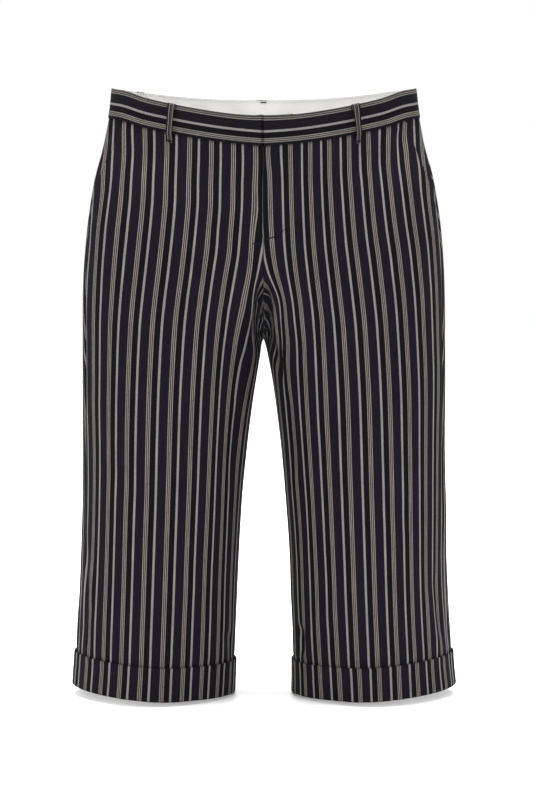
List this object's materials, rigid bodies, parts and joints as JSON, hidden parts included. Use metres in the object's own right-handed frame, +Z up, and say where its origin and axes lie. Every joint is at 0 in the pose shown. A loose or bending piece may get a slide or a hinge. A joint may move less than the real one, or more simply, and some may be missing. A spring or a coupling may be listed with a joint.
{
  "type": "cropped trousers",
  "caption": "Hollow cropped wide-leg trousers with a lapped waistband, belt loops, slanted side pockets, a covered zip fly and turned-up hems, filled out as worn.",
  "frame": {"origin": "middle of the waist opening, level with the waistband's top edge at the two sides, where the wearer's waist holds the trousers up", "axes": "+Z up along the body, -Y to the front, +X to the wearer's left"},
  "size_m": [0.4638, 0.2254, 0.7307],
  "materials": {
    "striped_cotton": "matt yarn-dyed cotton twill, near-black navy with lengthwise beige and grey pinstripes",
    "white_facing": "matt off-white cotton facing",
    "zip_tape": "matt navy woven zip tape",
    "nickel": "dull nickel-plated steel"
  },
  "bodies": {
    "root": {"front_left": "striped_cotton", "front_right": "striped_cotton", "back_left": "striped_cotton", "back_right": "striped_cotton", "pocket_facing_left": "striped_cotton", "pocket_facing_right": "striped_cotton", "turn_up_left": "striped_cotton", "turn_up_right": "striped_cotton", "waistband_left": "striped_cotton", "waistband_right": "striped_cotton", "waistband_facing_back": "white_facing", "fly_shield": "striped_cotton", "fly_zip": "zip_tape", "zip_slider": "nickel", "waist_hook": "nickel", "waist_bar": "nickel", "belt_loop_front_left": "striped_cotton", "belt_loop_front_right": "striped_cotton", "belt_loop_back_left": "striped_cotton", "belt_loop_back_right": "striped_cotton", "belt_loop_back_centre": "striped_cotton"}
  },
  "joints": []
}
